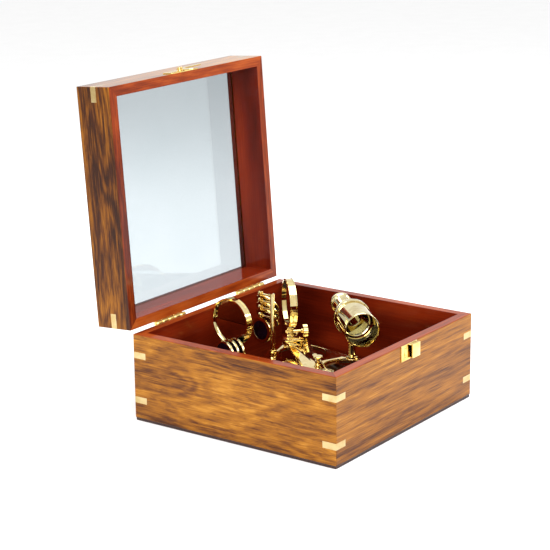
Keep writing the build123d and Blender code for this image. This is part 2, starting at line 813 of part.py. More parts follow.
with BuildPart() as reader_lens:
    with BuildSketch(Plane.XY.offset(reader_low + 3.2)):
        with Locations((rx + reader_reach, ry)):
            Circle(reader_lens_radius)
    extrude(amount=1.6)
save(reader_lens.part, "reader_lens", sextant)

# ---------------------------------------------------------------- shades
def shade_post(spot, turn, pin_heights, pin_length):
    """Post with the pins that the shades turn on; the pins point back from the post."""
    facing = radians(turn)
    with BuildPart() as post:
        with BuildSketch():
            with Locations(spot):
                Circle(shade_foot_radius)
        extrude(amount=shade_foot_thick)
        with BuildSketch():
            with Locations(spot):
                Circle(shade_post_radius)
        extrude(amount=pin_heights[-1] + shade_eye_radius)
        for height in pin_heights:
            with BuildSketch(Plane((*spot, height), x_dir=(0, 0, 1), z_dir=(-cos(facing), -sin(facing), 0))):
                Circle(shade_pin_radius)
            extrude(amount=pin_length)
    return post.part


index_offset = index_frame_radius + shade_post_radius + index_shade_gap
index_pins = [index_pin_low] + [index_pin_second + i * index_pin_pitch for i in range(3)]
horizon_offsets = [horizon_shade_first + i * horizon_shade_pitch for i in range(3)]
index_pin_end = index_offset + shade_eye_width / 2 + shade_pin_spare
horizon_pin_end = horizon_offsets[-1] + shade_eye_width / 2 + shade_pin_spare
with BuildPart() as shade_posts:
    add(shade_post(index_shade_post, index_shade_turn, index_pins, index_pin_end))
    add(shade_post(horizon_shade_post, horizon_shade_turn + 180, [horizon_pin_height], horizon_pin_end))
save(shade_posts.part, "shade_posts", sextant)


def flap_shade(pin_plane, arm, elevation):
    """Shade whose face contains its pin: a flap that swings about it."""
    swung = Plane(pin_plane.origin, x_dir=pin_plane.z_dir, z_dir=flap_normal(pin_plane, elevation))
    with BuildPart() as frame:
        with BuildSketch(swung):
            with Locations((0, arm)):
                Circle(index_frame_radius)
            Rectangle(shade_stem, arm - index_glass_radius, align=(Align.CENTER, Align.MIN))
            with Locations((0, arm)):
                Circle(index_glass_radius, mode=Mode.SUBTRACT)
        extrude(amount=shade_thick / 2, both=True)
        with BuildSketch(pin_plane):
            Circle(shade_eye_radius)
        extrude(amount=shade_eye_width / 2, both=True)
        with BuildSketch(pin_plane):
            Circle(shade_pin_radius + shade_play)
        extrude(amount=shade_eye_width, both=True, mode=Mode.SUBTRACT)
    with BuildPart() as glass:
        with BuildSketch(swung):
            with Locations((0, arm)):
                Circle(index_glass_radius)
        extrude(amount=shade_glass_thick / 2, both=True)
    return frame.part, glass.part


def flap_normal(pin_plane, elevation):
    """Normal of a flap whose arm points up the pin plane at this elevation from its local X."""
    arm = pin_plane.x_dir * cos(radians(elevation)) + pin_plane.y_dir * sin(radians(elevation))
    return pin_plane.z_dir.cross(arm)


facing = radians(index_shade_turn)
pin_dir = (-cos(facing), -sin(facing), 0)
side_dir = (sin(facing), -cos(facing), 0)
disc_spot = [index_shade_post[i] + pin_dir[i] * index_offset for i in (0, 1)]
for i, height in enumerate(index_pins, start=1):
    elevation = -90.0 if i == 1 else index_shade_tip
    spot = (*disc_spot, height)
    # Local X away from the frame, local Y up, so elevations read as seen along the pin.
    pin_plane = Plane(spot, x_dir=side_dir, z_dir=Vector(side_dir).cross(Vector(0, 0, 1)))
    frame, glass = flap_shade(pin_plane, index_shade_arm, elevation)
    save(frame, f"index_shade_{i}_frame", sextant)
    save(glass, f"index_shade_{i}_glass", sextant)

facing = radians(horizon_shade_turn)
for i, offset in enumerate(horizon_offsets, start=1):
    spot = (horizon_shade_post[0] + cos(facing) * offset, horizon_shade_post[1] + sin(facing) * offset)
    disc_plane = upright(spot, horizon_shade_turn, horizon_pin_height)
    disc = polar(horizon_shade_arm, horizon_shade_rest)
    with BuildPart() as shade_frame:
        with BuildSketch(disc_plane):
            with Locations(disc):
                Circle(horizon_frame_radius)
            with Locations(Location((0, 0, 0), (0, 0, horizon_shade_rest))):
                Rectangle(
                    horizon_shade_arm - horizon_glass_radius,
                    shade_stem,
                    align=(Align.MIN, Align.CENTER),
                )
            Circle(shade_eye_radius)
            with Locations(disc):
                Circle(horizon_glass_radius, mode=Mode.SUBTRACT)
            Circle(shade_pin_radius + shade_play, mode=Mode.SUBTRACT)
        extrude(amount=shade_eye_width / 2, both=True)
    save(shade_frame.part, f"horizon_shade_{i}_frame", sextant)
    with BuildPart() as shade_glass:
        with BuildSketch(disc_plane):
            with Locations(disc):
                Circle(horizon_glass_radius)
        extrude(amount=shade_glass_thick / 2, both=True)
    save(shade_glass.part, f"horizon_shade_{i}_glass", sextant)

# ---------------------------------------------------------------- telescope, stowed beside the frame
tube_plane = upright(post_spot, 0, tube_height)     # local Z points to the mouth


def turned_tube(levels):
    """Tube along the telescope's axis from (start, end, radius, bore) steps, ahead of the post."""
    with BuildPart() as tube:
        for start, end, radius, bore in levels:
            with BuildSketch(tube_plane.offset(start)):
                Circle(radius)
                if bore:
                    Circle(bore, mode=Mode.SUBTRACT)
            extrude(amount=end - start)
    return tube.part


tube_bore = tube_radius - tube_wall
draw_bore = draw_radius + draw_play
shoulder_front = -tube_back + shoulder_length
with BuildPart() as telescope_tube:
    add(turned_tube([
        (-tube_back, shoulder_front, tube_radius, draw_bore),
        (shoulder_front, tube_front, tube_radius, tube_bore),
    ]))
    rims = telescope_tube.edges().filter_by(GeomType.CIRCLE).group_by(SortBy.RADIUS)[-1]
    back_rim = rims.sort_by_distance(tube_plane.offset(-tube_back).origin)[0]
    chamfer(back_rim, shoulder_length - 1.0, tube_radius - shoulder_radius - 2.0)
    for level in (shoulder_front + 1.0, shoulder_front + 4.0):
        with BuildSketch(tube_plane.offset(level)):
            Circle(tube_radius + 1.0)
            Circle(tube_radius - 0.6, mode=Mode.SUBTRACT)
        extrude(amount=1.2, mode=Mode.SUBTRACT)
save(telescope_tube.part, "telescope_tube", sextant)

with BuildPart() as telescope_holder:
    add(turned_tube([(-collar_length / 2, collar_length / 2, tube_radius + collar_wall, tube_radius)]))
    with BuildSketch(Plane.XY.offset(post_foot_thick + post_gap)):
        with Locations(post_spot):
            Circle(post_radius)
    extrude(amount=tube_height - tube_radius - collar_wall / 2 - post_foot_thick - post_gap)
    with BuildSketch():
        with Locations(post_spot):
            Circle(post_pin_radius + post_play)
    extrude(amount=post_pin_height + post_gap, mode=Mode.SUBTRACT)
save(telescope_holder.part, "telescope_holder", sextant)

cell_front = tube_front - cell_depth
cell_back = cell_front - cell_length
lens_front = (cell_front + cell_back + objective_thick) / 2
save(
    turned_tube([(cell_back, cell_front, tube_bore, cell_bore)]),
    "objective_cell",
    sextant,
)
save(turned_tube([(lens_front - objective_thick, lens_front, cell_bore, 0)]), "objective_lens", sextant)

draw_inner = draw_radius - draw_wall
cup_front = -draw_back + eyecup_length
save(
    turned_tube([
        (-draw_back, -draw_back + 1.2, eyecup_radius, eye_hole),
        (-draw_back + 1.2, cup_front, eyecup_radius, draw_inner),
        (cup_front, -tube_back + draw_overlap, draw_radius, draw_inner),
    ]),
    "draw_tube",
    sextant,
)
eye_front = cup_front + eye_lens_thick
save(turned_tube([(cup_front, eye_front, draw_inner, 0)]), "eye_lens", sextant)
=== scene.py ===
import json
from math import atan2, cos, pi, radians, sin

import bmesh
import bpy
from mathutils import Matrix, Vector


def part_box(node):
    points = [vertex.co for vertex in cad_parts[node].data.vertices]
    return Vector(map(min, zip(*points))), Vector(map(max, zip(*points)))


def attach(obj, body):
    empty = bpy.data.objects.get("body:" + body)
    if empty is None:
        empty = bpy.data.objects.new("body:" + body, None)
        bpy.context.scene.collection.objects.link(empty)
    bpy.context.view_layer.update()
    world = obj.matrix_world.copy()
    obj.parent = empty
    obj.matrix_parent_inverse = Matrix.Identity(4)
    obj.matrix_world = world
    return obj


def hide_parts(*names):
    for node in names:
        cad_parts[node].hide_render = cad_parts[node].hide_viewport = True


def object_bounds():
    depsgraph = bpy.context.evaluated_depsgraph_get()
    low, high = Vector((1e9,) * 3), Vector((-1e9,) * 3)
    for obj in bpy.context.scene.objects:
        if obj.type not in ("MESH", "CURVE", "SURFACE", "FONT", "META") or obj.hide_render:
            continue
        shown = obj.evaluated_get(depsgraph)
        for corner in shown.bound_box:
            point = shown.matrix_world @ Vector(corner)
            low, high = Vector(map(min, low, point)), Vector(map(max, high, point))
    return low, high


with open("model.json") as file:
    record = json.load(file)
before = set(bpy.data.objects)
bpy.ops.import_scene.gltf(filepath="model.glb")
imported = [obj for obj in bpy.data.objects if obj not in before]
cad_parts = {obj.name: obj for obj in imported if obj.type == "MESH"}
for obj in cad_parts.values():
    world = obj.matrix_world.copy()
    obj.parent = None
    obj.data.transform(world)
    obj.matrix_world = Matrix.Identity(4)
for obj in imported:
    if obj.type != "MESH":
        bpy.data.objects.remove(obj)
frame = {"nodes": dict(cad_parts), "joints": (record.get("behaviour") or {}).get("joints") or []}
cadLow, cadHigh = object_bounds()
nodes = frame["nodes"]
joints = {joint["name"]: joint for joint in frame["joints"]}
mm = 0.001
print("frame loaded:", len(nodes), "nodes")

# Places on the object, all taken from the frame
leftLow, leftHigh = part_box("case_left_wall")
caseTop = leftHigh.z
caseHalf = Vector((abs(leftLow.x), abs(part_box("case_front_wall")[0].y), 0))
wallThick = leftHigh.x - leftLow.x
lidOpen = radians(-joints["lid_hinge"]["range_deg"][0])
hingeAt = Vector(joints["lid_hinge"]["pos_m"])
pivotAt = Vector(joints["index_arm_swing"]["pos_m"])
alongTube = -Vector(joints["draw_tube_focus"]["axis"]).normalized()
acrossTube = Vector((0, 0, 1)).cross(alongTube)
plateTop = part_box("sextant_frame")[1].z
sextantPlace = Matrix.Translation((pivotAt.x, pivotAt.y, plateTop)) @ Matrix(
    (alongTube, acrossTube, Vector((0, 0, 1)))).transposed().to_4x4()


def onSextant(u, v, z):
    # u along the centre line from the pivot, v to its left, z above the plate
    return sextantPlace @ Vector((u, v, z))


def alignedTo(origin, direction, up=(0, 0, 1)):
    # Matrix that takes +Z to the direction and +Y as near to up as it can be
    z = Vector(direction).normalized()
    x = Vector(up).cross(z)
    x = Vector((1, 0, 0)) if x.length < 1e-6 else x.normalized()
    return Matrix.Translation(origin) @ Matrix((x, z.cross(x), z)).transposed().to_4x4()


# Materials

def hexColour(code):
    def linear(value):
        return value / 12.92 if value <= 0.04045 else ((value + 0.055) / 1.055) ** 2.4
    return tuple(linear(int(code[i:i + 2], 16) / 255) for i in (1, 3, 5)) + (1.0,)


def addNode(tree, kind, settings=None, inputs=None, stops=None):
    # An input that is a socket is linked, any other is a fixed value; stops are a ramp's colours
    node = tree.nodes.new(kind)
    for key, value in (settings or {}).items():
        setattr(node, key, value)
    for key, value in (inputs or {}).items():
        if isinstance(value, bpy.types.NodeSocket):
            tree.links.new(value, node.inputs[key])
        else:
            node.inputs[key].default_value = value
    for number, (position, code) in enumerate(stops or ()):
        elements = node.color_ramp.elements
        element = elements[number] if number < 2 else elements.new(position)
        element.position = position
        element.color = hexColour(code)
    return node


def newMaterial(name):
    # An empty material with a principled shader joined to its output
    material = bpy.data.materials.new(name)
    material.use_nodes = True
    tree = material.node_tree
    tree.nodes.clear()
    shader = addNode(tree, "ShaderNodeBsdfPrincipled")
    addNode(tree, "ShaderNodeOutputMaterial", inputs={"Surface": shader.outputs[0]})
    return material, tree, shader


woodTones = {
    "outside": [(0.0, "#2E160A"), (0.25, "#5C320E"), (0.5, "#824E14"), (0.75, "#9C6218"), (1.0, "#B67A28")],
    "streak": "#532A18",
    "rim": [(0.0, "#501A0C"), (0.5, "#84330F"), (1.0, "#A44C1A")],
    "inside": [(0.0, "#3E0C04"), (0.5, "#681A08"), (1.0, "#8C2C0E")],
}
boardGrain = {
    "bandCount": 26.0,        # growth lines across the full swing of the figure
    "bandWeight": 0.07,
    "fibreWidth": 1.1,        # mm, drawn coarser than real fibres so that they show
    "fibreWeight": 0.8,
    "fibreStretch": 0.035,    # along the grain the fibres are longer by one over this
    "streakWidth": 4.2,       # mm
    "streakWeight": 0.6,
    "cloudSize": 40.0,        # mm
    "level": (0.86, 1.52),    # darkest and lightest sum of all the parts
    "insideLevel": (0.4, 0.9),
    "fibreDepth": 0.12,       # mm
    "lacquer": 0.06,
    "lacquerRough": 0.12,
    "sheen": 0.14,            # specular level of the oiled wood under the lacquer
}
# where the inside faces and the rims end, mm
insideMargin = 0.3
caseRimDepth = 0.4
lidRimDepth = 0.6


def lacqueredRosewood(name, grainAlong, seed, lidPart, figureSize, figureStretch, depth):
    # Indian rosewood under satin lacquer: golden outside with dark growth lines, red-brown inside
    material, tree, shader = newMaterial(name)
    spot = addNode(tree, "ShaderNodeTexCoord").outputs["Object"]
    if lidPart:
        # back to the closed lid's own plan, with the rim at zero height
        back = -(Matrix.Rotation(lidOpen, 3, "X") @ hingeAt) + Vector((0, hingeAt.y, 0))
        spot = addNode(tree, "ShaderNodeMapping", inputs={
            "Vector": spot, "Rotation": (lidOpen, 0, 0), "Location": back}).outputs[0]
    axes = addNode(tree, "ShaderNodeSeparateXYZ", inputs={0: spot})
    # inside faces lie within the inner walls, rims on the joint between case and lid
    within = []
    for axis, half in ((0, caseHalf.x), (1, caseHalf.y)):
        away = addNode(tree, "ShaderNodeMath", {"operation": "ABSOLUTE"}, {0: axes.outputs[axis]})
        within.append(addNode(tree, "ShaderNodeMath", {"operation": "LESS_THAN"}, {
            0: away.outputs[0], 1: half - wallThick + insideMargin * mm}).outputs[0])
    inside = addNode(tree, "ShaderNodeMath", {"operation": "MULTIPLY"}, {0: within[0], 1: within[1]})
    if lidPart:
        rim = addNode(tree, "ShaderNodeMath", {"operation": "LESS_THAN"}, {
            0: axes.outputs[2], 1: lidRimDepth * mm})
    else:
        rim = addNode(tree, "ShaderNodeMath", {"operation": "GREATER_THAN"}, {
            0: axes.outputs[2], 1: caseTop - caseRimDepth * mm})
    grain = addNode(tree, "ShaderNodeMapping", inputs={
        "Vector": spot, "Rotation": (0, 0, 0 if grainAlong == "x" else pi / 2),
        "Location": (0.37 * seed, 0.021 * seed, 0.06 + 0.013 * seed)})
    # growth lines are level lines of a slow noise, so they close into eyes as a flat-sawn board's do
    figureSpace = addNode(tree, "ShaderNodeMapping", inputs={
        "Vector": grain.outputs[0], "Scale": (figureStretch, 1, 1)})
    figure = addNode(tree, "ShaderNodeTexNoise", inputs={
        "Vector": figureSpace.outputs[0], "Scale": 1 / (figureSize * mm), "Detail": 1.6, "Roughness": 0.42})
    counted = addNode(tree, "ShaderNodeMath", {"operation": "MULTIPLY"}, {
        0: figure.outputs["Fac"], 1: boardGrain["bandCount"] * pi})
    lines = addNode(tree, "ShaderNodeMath", {"operation": "SINE"}, {0: counted.outputs[0]})
    fibreSpace = addNode(tree, "ShaderNodeMapping", inputs={
        "Vector": grain.outputs[0], "Scale": (boardGrain["fibreStretch"], 1, 1)})
    fibres = addNode(tree, "ShaderNodeTexNoise", inputs={
        "Vector": fibreSpace.outputs[0], "Scale": 1 / (boardGrain["fibreWidth"] * mm), "Detail": 3.0,
        "Roughness": 0.65})
    streaks = addNode(tree, "ShaderNodeTexNoise", inputs={
        "Vector": figureSpace.outputs[0], "Scale": 1 / (boardGrain["streakWidth"] * mm), "Detail": 3.0,
        "Roughness": 0.6, "Distortion": 0.4})
    clouds = addNode(tree, "ShaderNodeTexNoise", inputs={
        "Vector": figureSpace.outputs[0], "Scale": 1 / (boardGrain["cloudSize"] * mm), "Detail": 2.0})
    weighed = addNode(tree, "ShaderNodeMath", {"operation": "MULTIPLY_ADD"}, {
        0: lines.outputs[0], 1: boardGrain["bandWeight"], 2: clouds.outputs["Fac"]})
    for part, weight in ((fibres, boardGrain["fibreWeight"]), (streaks, boardGrain["streakWeight"])):
        weighed = addNode(tree, "ShaderNodeMath", {"operation": "MULTIPLY_ADD"}, {
            0: part.outputs["Fac"], 1: weight, 2: weighed.outputs[0]})
    low, high = boardGrain["level"]
    level = addNode(tree, "ShaderNodeMapRange", inputs={
        "Value": weighed.outputs[0], "From Min": low + depth, "From Max": high + depth})
    outside = addNode(tree, "ShaderNodeValToRGB", inputs={"Fac": level.outputs[0]},
                      stops=woodTones["outside"])
    dark = addNode(tree, "ShaderNodeValToRGB", inputs={"Fac": streaks.outputs["Fac"]},
                   stops=[(0.32, "#9C9C9C"), (0.46, "#000000")])
    streaked = addNode(tree, "ShaderNodeMixRGB", inputs={
        "Fac": dark.outputs[0], "Color1": outside.outputs[0], "Color2": hexColour(woodTones["streak"])})
    rimTone = addNode(tree, "ShaderNodeValToRGB", inputs={"Fac": level.outputs[0]}, stops=woodTones["rim"])
    # the oiled inside shows soft clouds and hardly any grain
    soft = addNode(tree, "ShaderNodeMath", {"operation": "MULTIPLY_ADD"}, {
        0: fibres.outputs["Fac"], 1: 0.3, 2: clouds.outputs["Fac"]})
    low, high = boardGrain["insideLevel"]
    insideLevel = addNode(tree, "ShaderNodeMapRange", inputs={
        "Value": soft.outputs[0], "From Min": low + depth, "From Max": high + depth})
    insideTone = addNode(tree, "ShaderNodeValToRGB", inputs={"Fac": insideLevel.outputs[0]},
                         stops=woodTones["inside"])
    edged = addNode(tree, "ShaderNodeMixRGB", inputs={
        "Fac": rim.outputs[0], "Color1": streaked.outputs[0], "Color2": rimTone.outputs[0]})
    tone = addNode(tree, "ShaderNodeMixRGB", inputs={
        "Fac": inside.outputs[0], "Color1": edged.outputs[0], "Color2": insideTone.outputs[0]})
    bump = addNode(tree, "ShaderNodeBump", inputs={
        "Height": fibres.outputs["Fac"], "Strength": 0.1, "Distance": boardGrain["fibreDepth"] * mm})
    gloss = addNode(tree, "ShaderNodeValToRGB", inputs={"Fac": fibres.outputs["Fac"]},
                    stops=[(0.2, "#606060"), (0.8, "#484848")])
    for socket, value in (("Base Color", tone), ("Roughness", gloss), ("Normal", bump)):
        tree.links.new(value.outputs[0], shader.inputs[socket])
    shader.inputs["Coat Weight"].default_value = boardGrain["lacquer"]
    shader.inputs["Coat Roughness"].default_value = boardGrain["lacquerRough"]
    shader.inputs["Specular IOR Level"].default_value = boardGrain["sheen"]
    return material


def plainWood(name, stops, fibreWidth, roughness):
    # hardwood in plain boards: straight fine grain, no lacquer
    material, tree, shader = newMaterial(name)
    coords = addNode(tree, "ShaderNodeTexCoord")
    grain = addNode(tree, "ShaderNodeMapping", inputs={
        "Vector": coords.outputs["Object"], "Scale": (0.05, 1, 1)})
    fibres = addNode(tree, "ShaderNodeTexNoise", inputs={
        "Vector": grain.outputs[0], "Scale": 1 / (fibreWidth * mm), "Detail": 4.0})
    tone = addNode(tree, "ShaderNodeValToRGB", inputs={"Fac": fibres.outputs["Fac"]}, stops=stops)
    bump = addNode(tree, "ShaderNodeBump", inputs={
        "Height": fibres.outputs["Fac"], "Strength": 0.2, "Distance": 0.2 * mm})
    tree.links.new(tone.outputs[0], shader.inputs["Base Color"])
    tree.links.new(bump.outputs[0], shader.inputs["Normal"])
    shader.inputs["Roughness"].default_value = roughness
    return material


brassMarks = {"handling": 14.0, "hairline": 0.8, "hairDepth": 0.03}   # mm; real hairlines are finer


def brass(name, light, dark, smooth, dull, wear):
    # polished and waxed yellow brass: bright, with cloudy handling marks and hairlines
    material, tree, shader = newMaterial(name)
    coords = addNode(tree, "ShaderNodeTexCoord")
    clouds = addNode(tree, "ShaderNodeTexNoise", inputs={
        "Vector": coords.outputs["Object"], "Scale": 1 / (brassMarks["handling"] * mm), "Detail": 4.0,
        "Roughness": 0.6})
    hairSpace = addNode(tree, "ShaderNodeMapping", inputs={
        "Vector": coords.outputs["Object"], "Scale": (1, 0.12, 0.5)})
    hairs = addNode(tree, "ShaderNodeTexNoise", inputs={
        "Vector": hairSpace.outputs[0], "Scale": 1 / (brassMarks["hairline"] * mm), "Detail": 3.0})
    tone = addNode(tree, "ShaderNodeValToRGB", inputs={"Fac": clouds.outputs["Fac"]},
                   stops=[(0.3, dark), (0.58, light)])
    gloss = addNode(tree, "ShaderNodeValToRGB", inputs={"Fac": clouds.outputs["Fac"]},
                    stops=[(0.3, dull), (0.7, smooth)])
    bump = addNode(tree, "ShaderNodeBump", inputs={
        "Height": hairs.outputs["Fac"], "Strength": wear, "Distance": brassMarks["hairDepth"] * mm})
    for socket, value in (("Base Color", tone), ("Roughness", gloss), ("Normal", bump)):
        tree.links.new(value.outputs[0], shader.inputs[socket])
    shader.inputs["Metallic"].default_value = 1.0
    return material


def clearGlass(name, tint):
    # float or crown glass, faintly uneven in colour
    material, tree, shader = newMaterial(name)
    coords = addNode(tree, "ShaderNodeTexCoord")
    clouds = addNode(tree, "ShaderNodeTexNoise", inputs={
        "Vector": coords.outputs["Object"], "Scale": 1 / (120 * mm)})
    tone = addNode(tree, "ShaderNodeValToRGB", inputs={"Fac": clouds.outputs["Fac"]},
                   stops=[(0.2, tint[0]), (0.8, tint[1])])
    tree.links.new(tone.outputs[0], shader.inputs["Base Color"])
    shader.inputs["Roughness"].default_value = 0.0
    shader.inputs["Transmission Weight"].default_value = 1.0
    return material


def smokedGlass(name, tint):
    # neutral-density glass, almost black until it is held to the sun
    material, tree, shader = newMaterial(name)
    coords = addNode(tree, "ShaderNodeTexCoord")
    clouds = addNode(tree, "ShaderNodeTexNoise", inputs={
        "Vector": coords.outputs["Object"], "Scale": 1 / (9 * mm)})
    tone = addNode(tree, "ShaderNodeValToRGB", inputs={"Fac": clouds.outputs["Fac"]},
                   stops=[(0.3, "#08050A"), (0.7, tint)])
    tree.links.new(tone.outputs[0], shader.inputs["Base Color"])
    shader.inputs["Roughness"].default_value = 0.05
    shader.inputs["Transmission Weight"].default_value = 0.25
    return material


def silveredGlass(name):
    # back-silvered glass: a mirror with faint ageing
    material, tree, shader = newMaterial(name)
    coords = addNode(tree, "ShaderNodeTexCoord")
    age = addNode(tree, "ShaderNodeTexNoise", inputs={
        "Vector": coords.outputs["Object"], "Scale": 1 / (11 * mm), "Detail": 3.0})
    tone = addNode(tree, "ShaderNodeValToRGB", inputs={"Fac": age.outputs["Fac"]},
                   stops=[(0.3, "#C8CCCC"), (0.7, "#E8ECEC")])
    tree.links.new(tone.outputs[0], shader.inputs["Base Color"])
    shader.inputs["Metallic"].default_value = 1.0
    shader.inputs["Roughness"].default_value = 0.03
    return material


def graduatedScale(name, perDegree, lineShare):
    # silvered brass divided arc: fine dark lines pointing at the pivot
    material, tree, shader = newMaterial(name)
    coords = addNode(tree, "ShaderNodeTexCoord")
    centred = addNode(tree, "ShaderNodeMapping", inputs={
        "Vector": coords.outputs["Object"], "Location": (-pivotAt.x, -pivotAt.y, 0)})
    axes = addNode(tree, "ShaderNodeSeparateXYZ", inputs={0: centred.outputs[0]})
    angle = addNode(tree, "ShaderNodeMath", {"operation": "ARCTAN2"}, {
        0: axes.outputs[0], 1: axes.outputs[1]})
    steps = addNode(tree, "ShaderNodeMath", {"operation": "MULTIPLY"}, {
        0: angle.outputs[0], 1: 180 / pi * perDegree})
    within = addNode(tree, "ShaderNodeMath", {"operation": "FRACT"}, {0: steps.outputs[0]})
    line = addNode(tree, "ShaderNodeMath", {"operation": "LESS_THAN"}, {
        0: within.outputs[0], 1: lineShare})
    tone = addNode(tree, "ShaderNodeMixRGB", inputs={
        "Fac": line.outputs[0], "Color1": hexColour("#D8D0B8"), "Color2": hexColour("#2A2418")})
    tree.links.new(tone.outputs[0], shader.inputs["Base Color"])
    shader.inputs["Metallic"].default_value = 0.85
    shader.inputs["Roughness"].default_value = 0.32
    return material


def whitePaper(name, tone):
    # matt seamless backdrop paper
    material, tree, shader = newMaterial(name)
    coords = addNode(tree, "ShaderNodeTexCoord")
    mottle = addNode(tree, "ShaderNodeTexNoise", inputs={
        "Vector": coords.outputs["Object"], "Scale": 1 / (60 * mm)})
    paper = addNode(tree, "ShaderNodeValToRGB", inputs={"Fac": mottle.outputs["Fac"]},
                    stops=[(0.0, tone), (1.0, "#FFFFFF")])
    tree.links.new(paper.outputs[0], shader.inputs["Base Color"])
    shader.inputs["Roughness"].default_value = 0.9
    shader.inputs["Specular IOR Level"].default_value = 0.1
    return material


polished = brass("polishedBrass", "#F6E2A8", "#E0BE72", "#242424", "#3C3C3C", 0.08)
fitting = brass("lacqueredBrassFitting", "#F2D88C", "#DCB460", "#303030", "#4C4C4C", 0.12)
keyBrass = brass("filedBrassKey", "#CCB684", "#B4985E", "#606060", "#7C7C7C", 0.35)
tubeBrass = brass("telescopeBrass", "#EEE0AC", "#CDB478", "#2C2C2C", "#484848", 0.1)
divided = graduatedScale("dividedSilverScale", 2, 0.28)
darkGlass = smokedGlass("smokedGlass", "#1A1020")
paneGlass = clearGlass("floatGlass", ("#B4BEC2", "#BCC4C8"))
lensGlass = clearGlass("crownGlassLens", ("#EEF4F2", "#F6FAF8"))
mirrorGlass = silveredGlass("silveredMirror")
floorWood = plainWood("stainedPlywood", [(0.25, "#1C0A06"), (0.75, "#3E1C12")], 1.8, 0.5)
gripWood = plainWood("turnedRosewood", [(0.25, "#3A1608"), (0.75, "#8A4620")], 1.2, 0.28)
# grain direction, cut of the board, on the lid, figure size in mm, figure stretch, darkening
wallFinish = {
    "case_front_wall": ("x", 1, False, 42, 0.06, 0.03), "case_back_wall": ("x", 2, False, 42, 0.1, 0.0),
    "case_left_wall": ("y", 3, False, 40, 0.2, -0.02), "case_right_wall": ("y", 4, False, 40, 0.25, 0.0),
    "lid_front_rail": ("x", 5, True, 40, 0.12, 0.0), "lid_back_rail": ("x", 6, True, 40, 0.12, -0.2),
    "lid_left_rail": ("y", 7, True, 34, 0.16, 0.13), "lid_right_rail": ("y", 8, True, 34, 0.2, 0.0),
}
finishes = {
    keyBrass: ["case_corner_keys", "lid_corner_keys"],
    fitting: ["case_hinge_leaves", "lid_hinge_leaves", "hinge_pins", "catch_keeper", "latch_plate",
              "latch_hook", "case_screws", "lid_screws"],
    floorWood: ["base_board", "rest_blocks"],
    gripWood: ["handle_grip"],
    divided: ["arc_scale", "vernier_plate"],
    paneGlass: ["lid_glass", "horizon_clear_glass"],
    lensGlass: ["objective_lens", "eye_lens", "reader_lens"],
    mirrorGlass: ["index_mirror", "horizon_mirror"],
    tubeBrass: ["telescope_holder", "telescope_tube", "objective_cell", "draw_tube"],
    darkGlass: [name for name in nodes if "shade" in name and name.endswith("glass")],
}


def coat(node, material):
    slots = nodes[node].material_slots
    if not slots:
        nodes[node].data.materials.append(material)
    for item in nodes[node].material_slots:
        item.material = material


for name, grain in wallFinish.items():
    coat(name, lacqueredRosewood("rosewood" + name.title().replace("_", ""), *grain))
for material, names in finishes.items():
    for name in names:
        coat(name, material)
named = set(wallFinish) | {name for names in finishes.values() for name in names}
for name in nodes:
    if name not in named:
        coat(name, polished)
print("materials made:", len(bpy.data.materials))


# Pieces turned and filed from brass, each in place of its plain node

def easeEdges(shape, width, sharp=28):
    # rounds every edge that turns more than the sharp angle
    edges = [edge for edge in shape.edges if len(edge.link_faces) == 2
             and edge.calc_face_angle(0) > radians(sharp)]
    bmesh.ops.bevel(shape, geom=edges, offset=width * mm, offset_type="OFFSET", segments=2, profile=0.5,
                    affect="EDGES", material=-1, clamp_overlap=True)


def turned(outline, place, steps=72, ease=0.0):
    # Spins an outline of (radius, height) points in mm about the place's Z
    shape = bmesh.new()
    points = [shape.verts.new((radius * mm, 0, height * mm)) for radius, height in outline]
    rim = [shape.edges.new(pair) for pair in zip(points, points[1:])]
    bmesh.ops.spin(shape, geom=points + rim, cent=(0, 0, 0), axis=(0, 0, 1), dvec=(0, 0, 0), angle=2 * pi,
                   steps=steps, use_merge=True)
    bmesh.ops.remove_doubles(shape, verts=shape.verts, dist=1e-6)
    bmesh.ops.recalc_face_normals(shape, faces=shape.faces)
    if ease:
        easeEdges(shape, ease)
    bmesh.ops.transform(shape, matrix=place, verts=shape.verts)
    return shape


def block(size, place, ease=0.3):
    # Rectangular piece standing on the place's XY plane, edges broken
    shape = bmesh.new()
    bmesh.ops.create_cube(shape, size=1.0)
    bmesh.ops.scale(shape, vec=[side * mm for side in size], verts=shape.verts)
    bmesh.ops.translate(shape, vec=(0, 0, size[2] * mm / 2), verts=shape.verts)
    easeEdges(shape, ease)
    bmesh.ops.transform(shape, matrix=place, verts=shape.verts)
    return shape


def knurled(radius, thickness, place, teeth=36, depth=0.35):
    # Knob with straight knurling: every second column of its rim is set in
    shape = bmesh.new()
    bmesh.ops.create_cone(shape, cap_ends=True, segments=2 * teeth, radius1=radius * mm, radius2=radius * mm,
                          depth=thickness * mm)
    bmesh.ops.translate(shape, vec=(0, 0, thickness * mm / 2), verts=shape.verts)
    caps = [face for face in shape.faces if len(face.verts) > 4]
    bmesh.ops.inset_region(shape, faces=caps, thickness=0.7 * mm, depth=0.35 * mm)
    for vert in shape.verts:
        column = round(atan2(vert.co.y, vert.co.x) * teeth / pi)
        if vert.co.xy.length > (radius - 0.1) * mm and column % 2:
            vert.co.xy *= 1 - depth / radius
    bmesh.ops.recalc_face_normals(shape, faces=shape.faces)
    bmesh.ops.transform(shape, matrix=place, verts=shape.verts)
    return shape


